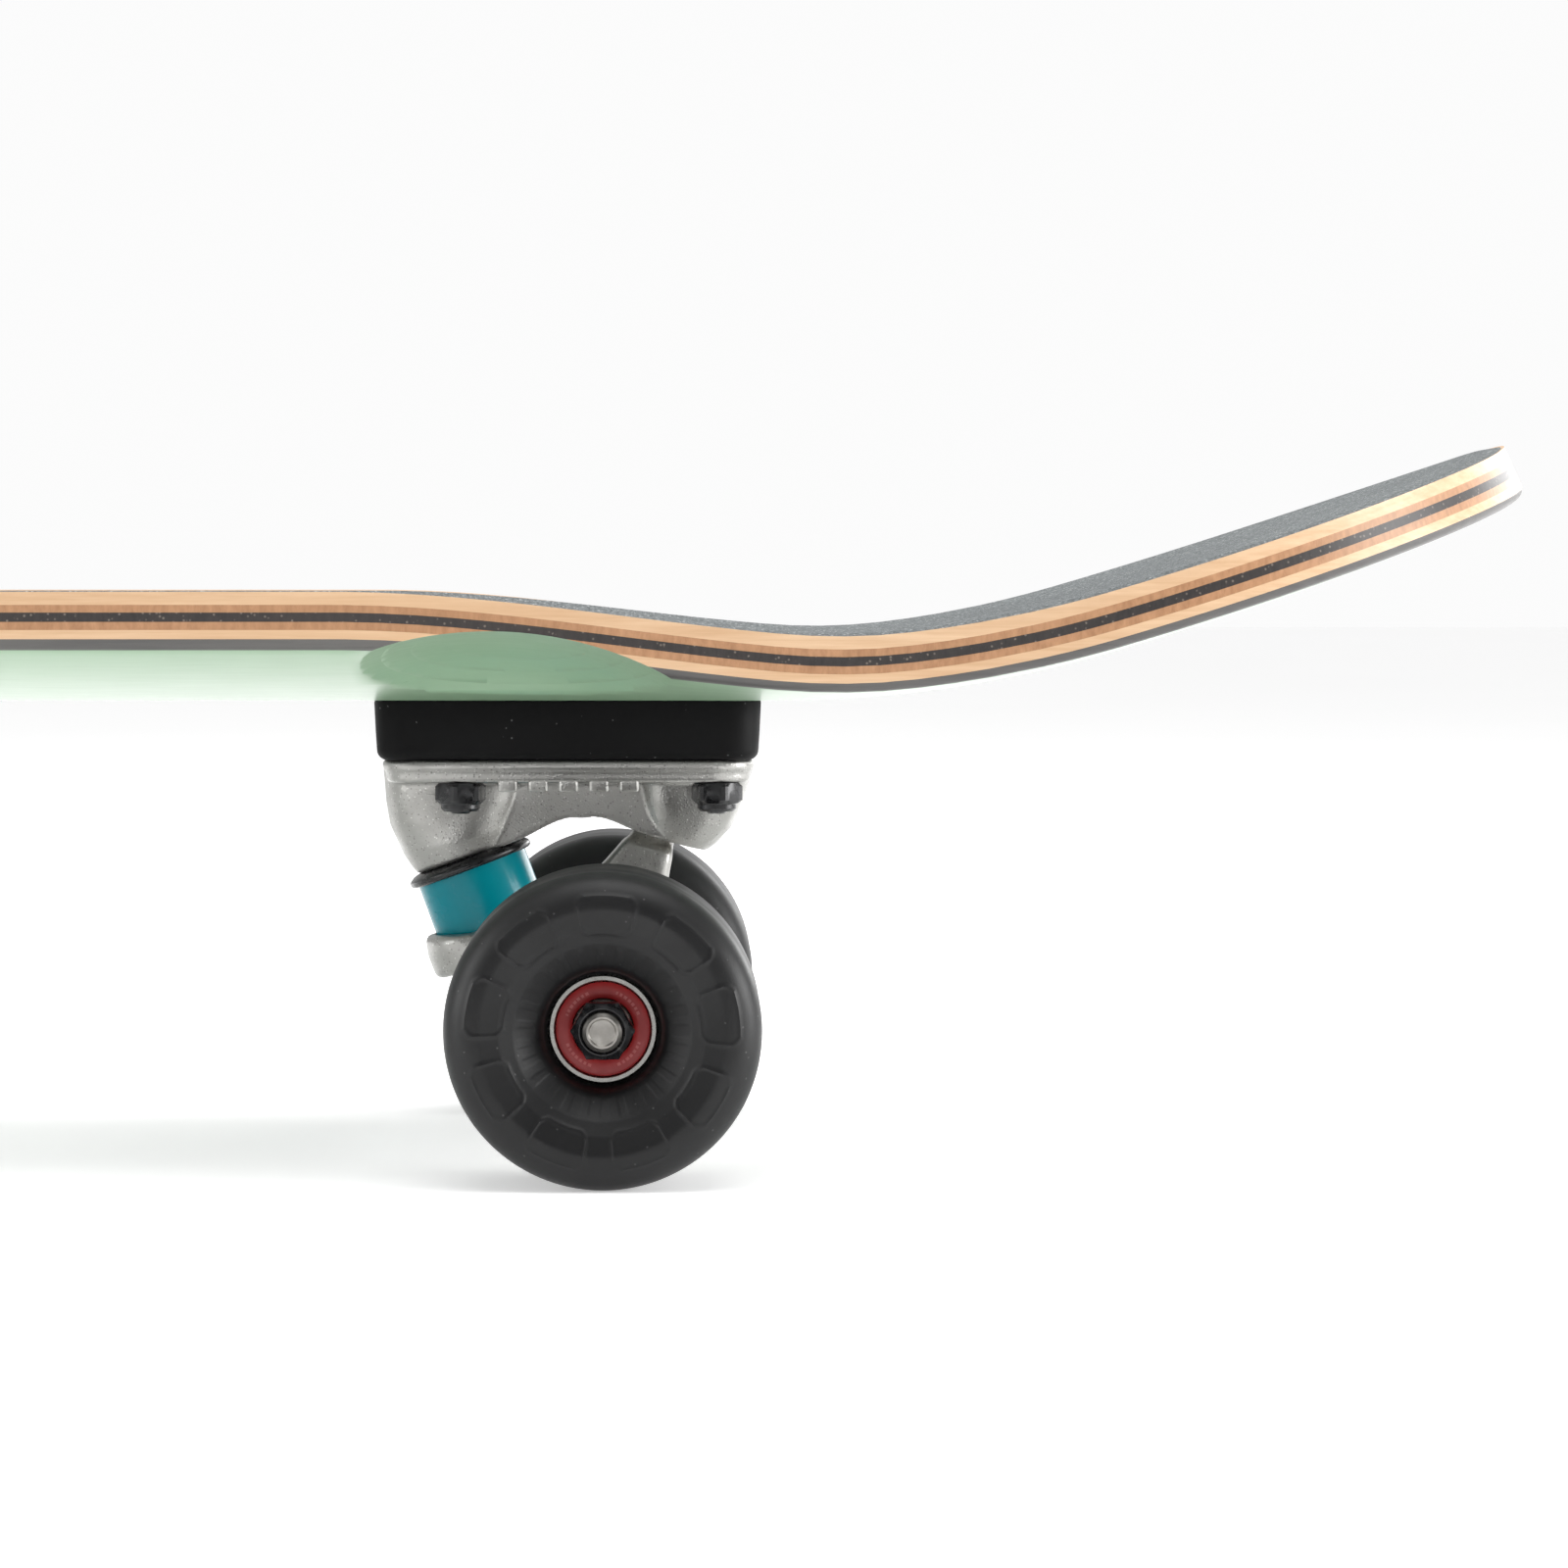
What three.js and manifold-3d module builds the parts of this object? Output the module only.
// A cruiser skateboard: a pressed maple deck with a kicked tail and nose and four wheel wells, riser
// pads, two cast trucks and four soft wheels on 608 bearings.
// Millimetres, +Z up, +X towards the tail, origin on the ground under the middle of the board.

import * as THREE from "three";
import { mergeVertices } from "three/addons/utils/BufferGeometryUtils.js";
import Module from "manifold-3d";

const wasm = await Module();
wasm.setup();

// ---------- driving dimensions ----------

const DEG = Math.PI / 180;
const GAP = 0.3; // between pieces that touch on the real board

// deck
const LENGTH = 762;
const WIDTH = 210;
const PLY_STACK = 11; // seven veneers
const GRIP = 0.8;
const DECK_BASE_Z = 95.2; // flat underside over the trucks
const TAIL_REACH = 203.5; // from the rear truck's centre to the tail's end
const NOSE_REACH = 164.8;
const FLAT_HALF = 30; // half width of the flat strip down the middle
const CONCAVE = 11.9; // rise of the rails between the trucks
const KICK_CONCAVE = 2.3; // what is left of it in the tail and nose
const CONCAVE_FADE = [-45, 70]; // where it fades, outwards from a truck's centre
const CONCAVE_POWER = 1.8;

// wheels and bearings
const WHEEL_R = 31.5;
const WHEEL_HALF = 25;
const TREAD_HALF = 17.5;
const LIP = 7.6; // fall of the rounded lip, from the tread to the side
const WHEEL_SIDES = 24;
const BEARING = { outer: 11, bore: 4.3, width: 7 };
const SPACER = { outer: 5.6, length: 10 };
const SPEED_WASHER = 1; // room for a washer on each side of the bearings
const AXLE_R = 3.97;
const AXLE_NUT = { flats: 11.1, height: 7.5 };
const AXLE_PROUD = 2.2; // axle past its nut

// truck, seen from the side: [along the board from the baseplate's middle, height]
const HANGER_HALF = 77.5;
const AXLE_AT = [8.4, WHEEL_R];
const BOLT_AT = [26.99, 20.64]; // half the hole pattern
const BOLT_SHIFT = 4.4; // its middle lies this far outwards of the baseplate's
const PLATE = { length: 78, width: 53, top: 82.5, bottom: 78, corner: 8 };
const RISER = { length: 81.4, width: 56, corner: 7, chamfer: 1.5 };
const SEAT_AT = [-21.87, 61.55]; // where the kingpin leaves the baseplate
const KINGPIN_TILT = 20.5 * DEG;
const PIVOT_AT = [20, 70.5]; // centre of the nose that the hanger turns on
const PIVOT_TILT = 22 * DEG;

// stack along the kingpin, measured down from the baseplate's seat
const KINGPIN = { radius: 4.75, end: 42.8, headTop: -18.2, headBottom: -13.7, headFlats: 14 };
const CUP_WASHER = { boardside: 13.5, roadside: 10.6, plate: 1.5, depth: 3.2, wall: 1 };
const BUSHING_R = 12;
const CONE_END_R = 9;
const RING = { top: 13.3, bottom: 21.5, outer: 15.4, hole: 7.75 };
const STACK_END = 33; // underside of the roadside washer
const KINGPIN_NUT = { top: 33.3, height: 8, flats: 14.3 };

// deck bolts
const BOLT = { radius: 2.4, headRadius: 4.7, headDepth: 2.8, tip: 71 };
const LOCK_NUT = { flats: 9.5, height: 6 };

const REAR_X = LENGTH / 2 - TAIL_REACH;
const FRONT_X = NOSE_REACH - LENGTH / 2;
const DECK_TOP_Z = DECK_BASE_Z + PLY_STACK;
const BOLT_TOP_Z = DECK_TOP_Z + GAP + GRIP - 0.2;

// ---------- materials ----------

const finish = (color, roughness, metalness) =>
  new THREE.MeshStandardMaterial({ color, roughness, metalness });
const MAPLE = finish(0xd9a873, 0.55, 0);
const GRIT = finish(0x3a3c3f, 0.95, 0);
const BLACK_PLASTIC = finish(0x1c1c1d, 0.5, 0);
const WHITE_URETHANE = finish(0xd8d6cf, 0.5, 0);
const CAST_ALUMINIUM = finish(0xa9aaa6, 0.38, 1);
const STEEL = finish(0xb4b2ad, 0.3, 1);
const BLACK_STEEL = finish(0x222325, 0.35, 1);
const TEAL_URETHANE = finish(0x00899a, 0.35, 0);
const BLACK_URETHANE = finish(0x2b2c2d, 0.6, 0);

// ---------- helpers ----------

function solidOf(geometry) {
  const bare = geometry.index ? geometry.toNonIndexed() : geometry.clone();
  bare.deleteAttribute("normal");
  bare.deleteAttribute("uv");
  const merged = mergeVertices(bare, 1e-4);
  return new wasm.Manifold(
    new wasm.Mesh({
      numProp: 3,
      vertProperties: merged.attributes.position.array,
      triVerts: new Uint32Array(merged.index.array),
    }),
  );
}

function geometryOf(solid) {
  const mesh = solid.getMesh();
  const geometry = new THREE.BufferGeometry();
  geometry.setAttribute("position", new THREE.BufferAttribute(mesh.vertProperties, 3));
  geometry.setIndex(new THREE.BufferAttribute(mesh.triVerts, 1));
  geometry.computeVertexNormals();
  return geometry;
}

const joined = (...geometries) => geometryOf(geometries.map(solidOf).reduce((a, b) => a.add(b)));
const cut = (body, ...tools) =>
  geometryOf(tools.map(solidOf).reduce((a, b) => a.subtract(b), solidOf(body)));
const common = (a, b) => geometryOf(solidOf(a).intersect(solidOf(b)));

// A solid of revolution about Y. Its [radius, y] profile starts and ends on the axis, or is a
// closed loop off it.
function turned(profile, sides = 24, start = 0) {
  const points = profile.map(([r, y]) => new THREE.Vector2(r, y));
  if (THREE.ShapeUtils.isClockWise(points)) points.reverse();
  if (points[0].x > 0) points.push(points[0].clone());
  return new THREE.LatheGeometry(points, sides, start);
}

const ring = (inner, outer, low, high, sides) =>
  turned([[inner, low], [outer, low], [outer, high], [inner, high]], sides);
const rod = (radius, low, high, sides) =>
  turned([[0, low], [radius, low], [radius, high], [0, high]], sides);

function roundedRectangle(length, width, corner) {
  const [x, y] = [length / 2 - corner, width / 2 - corner];
  const shape = new THREE.Shape();
  shape.absarc(x, y, corner, 0, 90 * DEG);
  shape.absarc(-x, y, corner, 90 * DEG, 180 * DEG);
  shape.absarc(-x, -y, corner, 180 * DEG, 270 * DEG);
  shape.absarc(x, -y, corner, 270 * DEG, 360 * DEG);
  return shape;
}

const polygon = (points) => new THREE.Shape(points.map(([x, y]) => new THREE.Vector2(x, y)));

function hexagon(flats) {
  const corner = flats / 2 / Math.cos(30 * DEG);
  const angles = [0, 1, 2, 3, 4, 5].map((i) => i * 60 * DEG);
  return polygon(angles.map((a) => [corner * Math.cos(a), corner * Math.sin(a)]));
}

// A flat outline made solid along Z, between two levels.
function plate(shape, low, high, curveSegments = 3) {
  const options = { depth: high - low, bevelEnabled: false, curveSegments };
  return new THREE.ExtrudeGeometry(shape, options).translate(0, 0, low);
}

// A side view of [along, height] points made solid across the board.
const sideView = (points, halfWidth) =>
  plate(polygon(points), -halfWidth, halfWidth).rotateX(90 * DEG);

// A solid made about Y or Z, moved so that its own Y (or Z) runs down the kingpin from the seat.
function onKingpin(geometry, ownAxis = "y") {
  if (ownAxis === "y") geometry.rotateX(-90 * DEG);
  else geometry.rotateX(180 * DEG);
  return geometry.rotateY(-KINGPIN_TILT).translate(SEAT_AT[0], 0, SEAT_AT[1]);
}

// The same for the pivot's axis, with distances measured up from the nose's centre.
const onPivot = (geometry) =>
  geometry.rotateX(90 * DEG).rotateY(PIVOT_TILT).translate(PIVOT_AT[0], 0, PIVOT_AT[1]);

// [along, height] of a point at a distance down the kingpin and a distance tailwards from it.
const kingpinPoint = (down, out) => [
  SEAT_AT[0] + down * Math.sin(KINGPIN_TILT) + out * Math.cos(KINGPIN_TILT),
  SEAT_AT[1] - down * Math.cos(KINGPIN_TILT) + out * Math.sin(KINGPIN_TILT),
];

function piece(name, geometry, material) {
  const mesh = new THREE.Mesh(geometry, material);
  mesh.name = name;
  return mesh;
}

const CORNERS = [[-1, -1], [1, -1], [-1, 1], [1, 1]];

// ---------- deck ----------

// A kick's centreline is a tight arc and then a long one; its plan closes in a rounded end.
const TAIL = {
  at: REAR_X,
  way: 1,
  start: 42,
  turn: 112,
  end: TAIL_REACH,
  turnAngle: 16.4 * DEG,
  endAngle: 24 * DEG,
  curveFrom: 85,
  lengthPower: 3.05,
  widthPower: 1.92,
};
const NOSE = {
  at: FRONT_X,
  way: -1,
  start: 44,
  turn: 100,
  end: NOSE_REACH,
  turnAngle: 12 * DEG,
  endAngle: 17 * DEG,
  curveFrom: 52,
  lengthPower: 2.4,
  widthPower: 2,
};

const clamp01 = (t) => Math.min(1, Math.max(0, t));
const smooth = (t) => t * t * (3 - 2 * t);

// Rise and slope of a kick at a distance outwards from its truck's centre.
function kickAt(kick, along) {
  if (along <= kick.start) return { rise: 0, angle: 0 };
  const tight = (kick.turn - kick.start) / Math.sin(kick.turnAngle);
  if (along <= kick.turn) {
    const angle = Math.asin((along - kick.start) / tight);
    return { rise: tight * (1 - Math.cos(angle)), angle };
  }
  const spread = Math.sin(kick.endAngle) - Math.sin(kick.turnAngle);
  const long = (kick.end - kick.turn) / spread;
  const angle = Math.asin(Math.sin(kick.turnAngle) + (along - kick.turn) / long);
  const tightRise = tight * (1 - Math.cos(kick.turnAngle));
  return { rise: tightRise + long * (Math.cos(kick.turnAngle) - Math.cos(angle)), angle };
}

// The underside's height at (x, y), and the centreline's slope there.
function underside(x, y) {
  const kick = x > (REAR_X + FRONT_X) / 2 ? TAIL : NOSE;
  const along = (x - kick.at) * kick.way;
  const { rise, angle } = kickAt(kick, along);
  const fade = smooth(clamp01((along - CONCAVE_FADE[0]) / (CONCAVE_FADE[1] - CONCAVE_FADE[0])));
  const depth = CONCAVE + (KICK_CONCAVE - CONCAVE) * fade;
  const across = clamp01((Math.abs(y) - FLAT_HALF) / (WIDTH / 2 - FLAT_HALF));
  return { z: DECK_BASE_Z + rise + depth * across ** CONCAVE_POWER, angle: angle * kick.way };
}

// A plan point of a rounded end: s runs from 0 at its shoulder to 1 at its tip, v from -1 to 1 across.
function shoulderPlan(kick, s, v) {
  const [a, b] = [s * Math.sqrt(1 - (v * v) / 2), v * Math.sqrt(1 - (s * s) / 2)];
  const radius = Math.hypot(a, b);
  const theta = Math.atan2(Math.abs(b), a);
  const reach = (kick.end - kick.curveFrom) * Math.cos(theta) ** (2 / kick.lengthPower);
  const half = (WIDTH / 2) * Math.sin(theta) ** (2 / kick.widthPower);
  return [kick.at + kick.way * (kick.curveFrom + radius * reach), Math.sign(v) * radius * half];
}

const SHOULDER_STATIONS = 6;
const NOSE_STATIONS = [52, 44, 14, -14, -45];
const TAIL_STATIONS = [-45, -14, 14, 42, 56, 70, 85];
const FLAT_SHARE = FLAT_HALF / (WIDTH / 2);
const HALF_COLUMNS = [FLAT_SHARE, 0.56, 0.8, 1];
const COLUMNS = [...HALF_COLUMNS.map((v) => -v).reverse(), 0, ...HALF_COLUMNS];

function planRows() {
  const shoulder = (kick) =>
    Array.from({ length: SHOULDER_STATIONS }, (_, i) => (i + 1) / SHOULDER_STATIONS).map((s) =>
      COLUMNS.map((v) => shoulderPlan(kick, s, v)),
    );
  const straight = (x) => COLUMNS.map((v) => [x, (v * WIDTH) / 2]);
  return [
    ...shoulder(NOSE).reverse(),
    ...NOSE_STATIONS.map((along) => straight(FRONT_X - along)),
    ...TAIL_STATIONS.map((along) => straight(REAR_X + along)),
    ...shoulder(TAIL),
  ];
}

// A sheet that follows the deck's underside, between two distances above it. Both faces are split
// along the same diagonals, so that two sheets can lie close together.
function pressedSheet(low, high) {
  const rows = planRows();
  const [rowCount, columnCount] = [rows.length, COLUMNS.length];
  const layer = (up) =>
    rows.flat().flatMap(([x, y]) => {
      const { z, angle } = underside(x, y);
      return [x - up * Math.sin(angle), y, z + up * Math.cos(angle)];
    });
  const index = [];
  const top = rowCount * columnCount;
  const quad = (a, b, c, d) => index.push(a, b, c, a, c, d);
  for (let i = 0; i < rowCount - 1; i++) {
    for (let j = 0; j < columnCount - 1; j++) {
      const a = i * columnCount + j;
      const [b, c, d] = [a + columnCount, a + columnCount + 1, a + 1];
      index.push(a, c, b, a, d, c);
      quad(top + a, top + b, top + c, top + d);
    }
    const [left, right] = [i * columnCount, (i + 1) * columnCount - 1];
    quad(left, left + columnCount, top + left + columnCount, top + left);
    quad(right + columnCount, right, top + right, top + right + columnCount);
  }
  for (let j = 0; j < columnCount - 1; j++) {
    const last = top - columnCount + j;
    quad(j + 1, j, top + j, top + j + 1);
    quad(last, last + 1, top + last + 1, top + last);
  }
  const geometry = new THREE.BufferGeometry();
  geometry.setAttribute("position", new THREE.Float32BufferAttribute([...layer(low), ...layer(high)], 3));
  geometry.setIndex(index);
  return geometry;
}

const WELL = { inboard: 14, radius: 75, acrossRadius: 96, outside: 10, top: 110.3 };

// The scoop that a wheel swings up into when the board leans.
function wheelWell(kick, side) {
  const scoop = new THREE.SphereGeometry(1, 20, 12).rotateX(90 * DEG);
  scoop.scale(WELL.radius, WELL.acrossRadius, WELL.radius);
  const drop = WELL.radius * Math.sqrt(1 - (WELL.outside / WELL.acrossRadius) ** 2);
  const [x, y] = [kick.at - kick.way * WELL.inboard, side * (WIDTH / 2 + WELL.outside)];
  return scoop.translate(x, y, WELL.top - drop);
}

// A countersunk bolt about Z, or with room added all round, the hole for it.
function boltSolid(tip, top, room) {
  const shoulder = top - BOLT.headDepth;
  const [shank, head] = [BOLT.radius + room, BOLT.headRadius + room];
  const mouth = room ? [[head, top + GRIP], [0, top + GRIP]] : [[0, top]];
  const profile = [[0, tip], [shank, tip], [shank, shoulder], [head, top], ...mouth];
  return turned(profile, 8).rotateX(90 * DEG);
}

const boltPlaces = CORNERS.map(([i, j]) => [BOLT_SHIFT + i * BOLT_AT[0], j * BOLT_AT[1]]);
const deckHoles = [TAIL, NOSE].flatMap(({ at, way }) =>
  boltPlaces.map(([x, y]) =>
    boltSolid(DECK_BASE_Z - 1, BOLT_TOP_Z, GAP).translate(at + way * x, y, 0),
  ),
);
const wheelWells = [TAIL, NOSE].flatMap((kick) => [-1, 1].map((side) => wheelWell(kick, side)));

function deckPieces() {
  const gripLow = PLY_STACK + GAP;
  return [
    piece("deck", cut(pressedSheet(0, PLY_STACK), ...wheelWells, ...deckHoles), MAPLE),
    piece("grip_tape", cut(pressedSheet(gripLow, gripLow + GRIP), ...deckHoles), GRIT),
  ];
}

// ---------- truck: what stays on the deck ----------

const boltHoles = (low, high) =>
  boltPlaces.map(([x, y]) => rod(BOLT.radius + GAP, low, high, 8).rotateX(90 * DEG).translate(x, y, 0));

function riserPad() {
  const [low, high] = [PLATE.top + GAP, DECK_BASE_Z - GAP];
  const outline = (less) =>
    roundedRectangle(RISER.length - 2 * less, RISER.width - 2 * less, RISER.corner - less);
  const body = joined(
    plate(outline(0), low + RISER.chamfer, high),
    plate(outline(RISER.chamfer), low, low + RISER.chamfer),
  );
  return cut(body, ...boltHoles(low - 1, high + 1));
}

// The casting's side view: kingpin boss, arch and pivot housing under the flange.
const BOSS_OUTLINE = [
  [-39.5, PLATE.bottom + 1],
  [-38.4, 69.5],
  [-34.8, 60.7],
  [-32.2, 57.8],
  kingpinPoint(0, 12.8),
  [-2.5, 69.5],
  [-1, PLATE.bottom + 1],
];
const WEB_OUTLINE = [
  [-39.5, PLATE.bottom + 1],
  [-36, 66],
  kingpinPoint(0, -6),
  kingpinPoint(0, 12.8),
  [-1, 70],
  [1.5, 70.6],
  [6.5, 70.6],
  [13.2, 67],
  [17.6, 65.6],
  [29.5, 62.8],
  [35, 68.9],
  [39, PLATE.bottom + 1],
];
const BOSS_HALF = 15.2;
const WEB_HALF = 8;
const HOUSING = { radius: 12.5, mouth: -7, top: 7 };
const SOCKET = { radius: 7.6, top: 7.6 };
const CUP_MOUTH = -5.6;

function baseplate() {
  const outline = roundedRectangle(PLATE.length, PLATE.width, PLATE.corner);
  const flange = plate(outline, PLATE.bottom, PLATE.top);
  const boss = sideView(BOSS_OUTLINE, BOSS_HALF);
  const web = sideView(WEB_OUTLINE, WEB_HALF);
  const round = onPivot(rod(HOUSING.radius, HOUSING.mouth - 2, HOUSING.top, 16));
  const housing = common(round, sideView(WEB_OUTLINE, HOUSING.radius + 1));
  const shank = onKingpin(rod(KINGPIN.radius + GAP, KINGPIN.headBottom - 2, 3, 12));
  const headRoom = onKingpin(rod(KINGPIN.headFlats / 2 + 1.4, KINGPIN.headTop - 9, KINGPIN.headBottom, 12));
  const socket = onPivot(rod(SOCKET.radius, HOUSING.mouth - 4, SOCKET.top, 14));
  return cut(
    joined(flange, boss, web, housing),
    shank,
    headRoom,
    socket,
    ...boltHoles(PLATE.bottom - 1, PLATE.top + 1),
  );
}

// The urethane socket: a cup with a round bottom and an open mouth.
function pivotCup() {
  const [wall, top] = [SOCKET.radius - GAP, SOCKET.top - GAP];
  const inside = [[0, 5.6], [3.6, 4.6], [5.4, 1.6], [5.6, -2], [6.1, CUP_MOUTH]];
  return onPivot(turned([...inside, [wall, CUP_MOUTH], [wall, top], [0, top]], 14));
}

function kingpin() {
  const { radius, end, headTop, headBottom, headFlats } = KINGPIN;
  const shank = rod(radius, headBottom - 1, end, 12).rotateX(90 * DEG);
  return onKingpin(joined(shank, plate(hexagon(headFlats), headTop, headBottom)), "z");
}

// A steel cup whose rim turns over the bushing's edge.
function cupWasher(top, way, outer) {
  const { plate: floor, depth, wall } = CUP_WASHER;
  const hole = KINGPIN.radius + GAP;
  const inside = outer - wall;
  const profile = [[hole, 0], [outer, 0], [outer, depth], [inside, depth], [inside, floor], [hole, floor]];
  const placed = profile.map(([r, y]) => [r, top + way * y]);
  return onKingpin(turned(placed, 16));
}

// A urethane ring with eased edges; the roadside one tapers.
function bushing(top, bottom, topRadius, bottomRadius) {
  const [hole, ease] = [KINGPIN.radius + GAP, 0.8];
  return onKingpin(
    turned(
      [
        [hole, top],
        [topRadius - ease, top],
        [topRadius, top + ease],
        [bottomRadius, bottom - ease],
        [bottomRadius - ease, bottom],
        [hole, bottom],
      ],
      16,
    ),
  );
}

const kingpinNut = () =>
  onKingpin(
    nut(KINGPIN_NUT.flats, KINGPIN_NUT.top, KINGPIN_NUT.top + KINGPIN_NUT.height, KINGPIN.radius + GAP),
    "z",
  );

// A hexagonal nut about Z with a round hole.
function nut(flats, low, high, hole) {
  const shape = hexagon(flats);
  shape.holes.push(new THREE.Path().absarc(0, 0, hole, 0, 360 * DEG, true));
  return plate(shape, low, high, 5);
}

function lockNut(x, y) {
  const high = PLATE.bottom - GAP;
  return nut(LOCK_NUT.flats, high - LOCK_NUT.height, high, BOLT.radius + GAP).translate(x, y, 0);
}

// ---------- truck: the hanger and what turns with it ----------

const SCOOP = { bushing: 13, bushingEnd: 34, nut: 11.5, halfSway: 6 };
const BEAM = [[8.2, HANGER_HALF], [8.4, 60], [10.4, 34], [8.6, 14]];
const ARM_OUTLINE = [
  kingpinPoint(RING.bottom, 10),
  kingpinPoint(RING.top, 10),
  kingpinPoint(RING.top - 0.6, 16),
  [2.2, 56.5],
  [8.6, 60.6],
  [11.4, 63.4],
  [21.4, 60.6],
  [20.6, 56],
  [19.6, 46],
  [19.5, 34],
  [14, 27],
  [4, 33],
];
const BRIDGE_OUTLINE = [
  kingpinPoint(RING.top + 0.6, 8),
  kingpinPoint(RING.top + 0.6, 17),
  [5, 51],
  [13, 47],
  [17.5, 38],
  [16, 30],
  [6, 33],
  kingpinPoint(RING.bottom, 8),
];
const WINGS = [[-16, 51], [16, 51], [46, 39.5], [62, 36], [62, 30], [-62, 30], [-62, 36], [-46, 39.5]];
const NOSE_FOOT = [[0, -14], [6.4, -14], [5, -8], [4.5, -5]];
const NOSE_BALL = [[4.9, -1.2], [4.2, 2.2], [2.2, 4.2], [0, 4.9]];

function hanger() {
  const half = BEAM.map(([r, y]) => [r, -y]);
  const beam = turned([[0, -HANGER_HALF], ...half, ...[...BEAM].reverse(), [0, HANGER_HALF]], 12);
  beam.translate(AXLE_AT[0], 0, AXLE_AT[1]);
  const yoke = onKingpin(rod(RING.outer, RING.top, RING.bottom, 18));
  const arm = sideView(ARM_OUTLINE, 6);
  const bridge = sideView(BRIDGE_OUTLINE, 13);
  const wings = plate(polygon(WINGS), 6, 13).rotateX(90 * DEG).rotateZ(90 * DEG);
  const nose = onPivot(turned([...NOSE_FOOT, ...NOSE_BALL], 10));
  const bushingRoom = onKingpin(rod(SCOOP.bushing, RING.bottom, SCOOP.bushingEnd, 14));
  const nutRoom = [-1, 0, 1].map((i) =>
    onKingpin(rod(SCOOP.nut, RING.bottom, KINGPIN.end + 20, 12)).translate(0, i * SCOOP.halfSway, 0),
  );
  const pinHole = onKingpin(rod(RING.hole, RING.top - 2, RING.bottom + 2, 14));
  const bore = rod(AXLE_R + GAP, -HANGER_HALF - 1, HANGER_HALF + 1, 10);
  bore.translate(AXLE_AT[0], 0, AXLE_AT[1]);
  return cut(joined(beam, yoke, arm, bridge, wings, nose), bushingRoom, ...nutRoom, pinHole, bore);
}

const BEARING_FACE = HANGER_HALF + SPEED_WASHER; // the inner bearing's inner side
const WHEEL_Y = BEARING_FACE + BEARING.width + SPACER.length / 2;
const NUT_FACE = WHEEL_Y + SPACER.length / 2 + BEARING.width + SPEED_WASHER;
const AXLE_HALF = NUT_FACE + AXLE_NUT.height + AXLE_PROUD;

const onAxle = (geometry, y = 0) => geometry.translate(AXLE_AT[0], y, AXLE_AT[1]);

const axle = () => onAxle(rod(AXLE_R, -AXLE_HALF, AXLE_HALF, 12));

const axleNut = (side) =>
  onAxle(
    nut(AXLE_NUT.flats, 0, AXLE_NUT.height, BEARING.bore).rotateX(-90 * DEG).rotateY(30 * DEG),
    side > 0 ? NUT_FACE : -NUT_FACE - AXLE_NUT.height,
  );

const bearingSpacer = (side) => {
  const half = SPACER.length / 2 - GAP;
  return onAxle(ring(BEARING.bore, SPACER.outer, -half, half, 10), side * WHEEL_Y);
};

// ---------- wheels ----------

function wheel() {
  const seat = BEARING.outer + GAP;
  const seatStart = SPACER.length / 2 - GAP;
  const seatEnd = SPACER.length / 2 + BEARING.width;
  const outer = WHEEL_R / Math.cos(Math.PI / WHEEL_SIDES); // so that the flats touch the ground
  const half = [[9.3, seatStart], [seat, seatStart], [seat, seatEnd], [12.2, 17.5], [17.5, 22.4]];
  for (const a of [90, 48, 0]) {
    const [up, out] = [Math.cos(a * DEG), Math.sin(a * DEG)];
    half.push([outer - LIP * (1 - up), TREAD_HALF + (WHEEL_HALF - TREAD_HALF) * out]);
  }
  const mirrored = half.map(([r, y]) => [r, -y]).reverse();
  return turned([...mirrored, ...half], WHEEL_SIDES, Math.PI / WHEEL_SIDES);
}

const bearing = () => ring(BEARING.bore, BEARING.outer, -BEARING.width / 2, BEARING.width / 2, 16);

// ---------- assembly ----------

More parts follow.
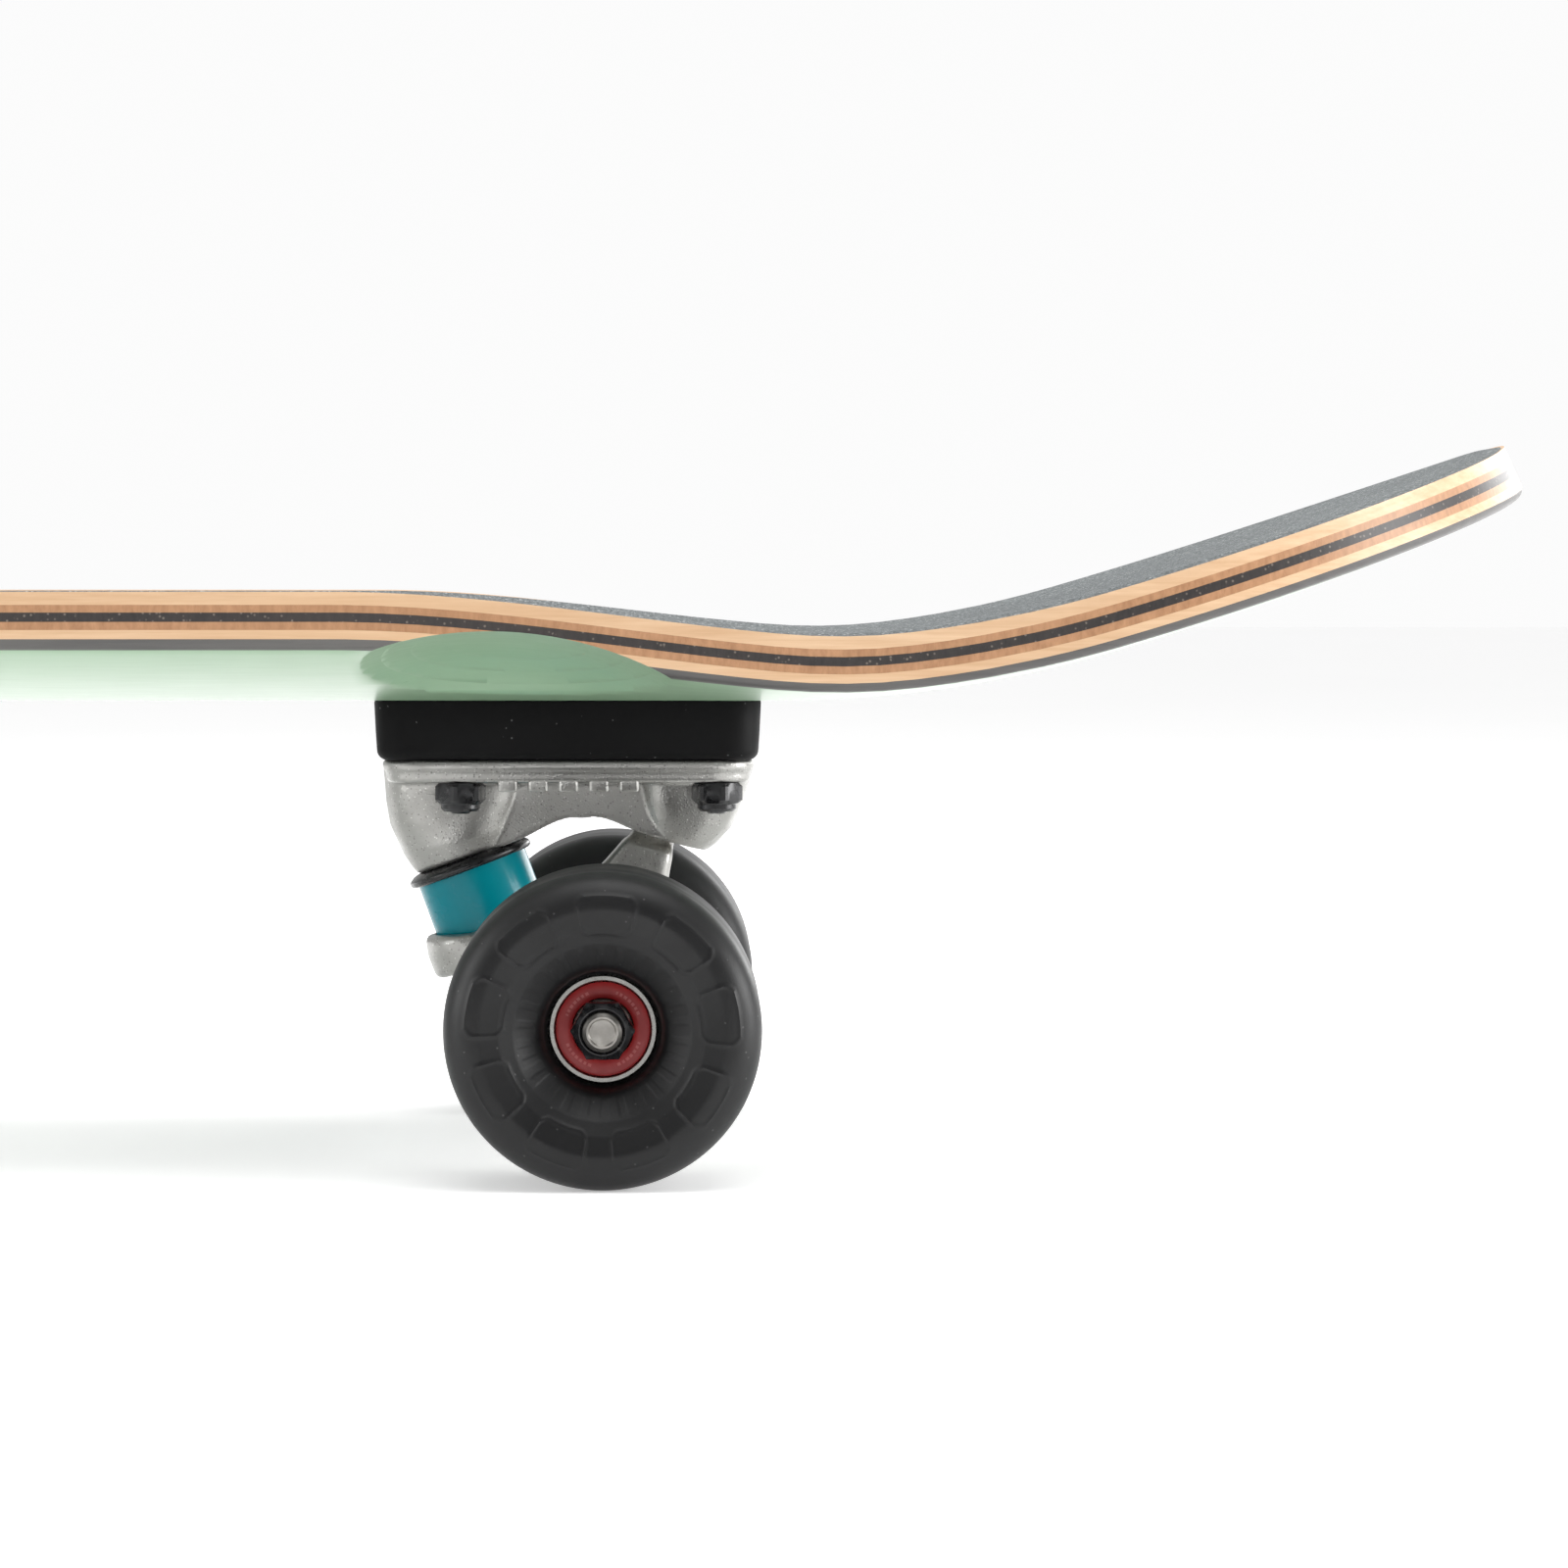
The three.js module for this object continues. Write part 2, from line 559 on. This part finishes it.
function truckPieces(end) {
  const named = (name, geometry, material) => piece(`${end}_${name}`, geometry, material);
  const boardside = [CUP_WASHER.plate + 2 * GAP, RING.top - GAP];
  const roadside = [RING.bottom + GAP, STACK_END - CUP_WASHER.plate - GAP];
  const pieces = [
    named("riser_pad", riserPad(), BLACK_PLASTIC),
    named("baseplate", baseplate(), CAST_ALUMINIUM),
    named("pivot_cup", pivotCup(), WHITE_URETHANE),
    named("kingpin", kingpin(), STEEL),
    named("cup_washer_boardside", cupWasher(GAP, 1, CUP_WASHER.boardside), BLACK_STEEL),
    named("bushing_boardside", bushing(...boardside, BUSHING_R, BUSHING_R), TEAL_URETHANE),
    named("bushing_roadside", bushing(...roadside, BUSHING_R, CONE_END_R), TEAL_URETHANE),
    named("cup_washer_roadside", cupWasher(STACK_END, -1, CUP_WASHER.roadside), BLACK_STEEL),
    named("kingpin_nut", kingpinNut(), BLACK_STEEL),
    named("hanger", hanger(), CAST_ALUMINIUM),
    named("axle", axle(), STEEL),
  ];
  boltPlaces.forEach(([x, y], i) => {
    const bolt = boltSolid(BOLT.tip, BOLT_TOP_Z, 0).translate(x, y, 0);
    pieces.push(named(`bolt_${i + 1}`, bolt, BLACK_STEEL));
    pieces.push(named(`lock_nut_${i + 1}`, lockNut(x, y), BLACK_STEEL));
  });
  return pieces;
}

// One side's wheel, with its bearings either side of the spacer.
function wheelPieces(corner, side) {
  const step = (SPACER.length + BEARING.width) / 2;
  const y = side * WHEEL_Y;
  return [
    piece(`${corner}_wheel`, onAxle(wheel(), y), BLACK_URETHANE),
    piece(`${corner}_bearing_inner`, onAxle(bearing(), y - side * step), STEEL),
    piece(`${corner}_bearing_outer`, onAxle(bearing(), y + side * step), STEEL),
    piece(`${corner}_bearing_spacer`, bearingSpacer(side), STEEL),
    piece(`${corner}_axle_nut`, axleNut(side), BLACK_STEEL),
  ];
}

// The front truck is the rear one turned round, so its left wheel is on the other side of its own frame.
function truck(end, at, turned) {
  const left = turned ? 1 : -1;
  const group = new THREE.Group();
  group.add(...truckPieces(end));
  group.add(...wheelPieces(`${end}_left`, left), ...wheelPieces(`${end}_right`, -left));
  group.position.x = at;
  group.rotation.z = turned ? Math.PI : 0;
  return group;
}

const skateboard = new THREE.Group();
skateboard.add(...deckPieces(), truck("rear", REAR_X, false), truck("front", FRONT_X, true));

export default skateboard;
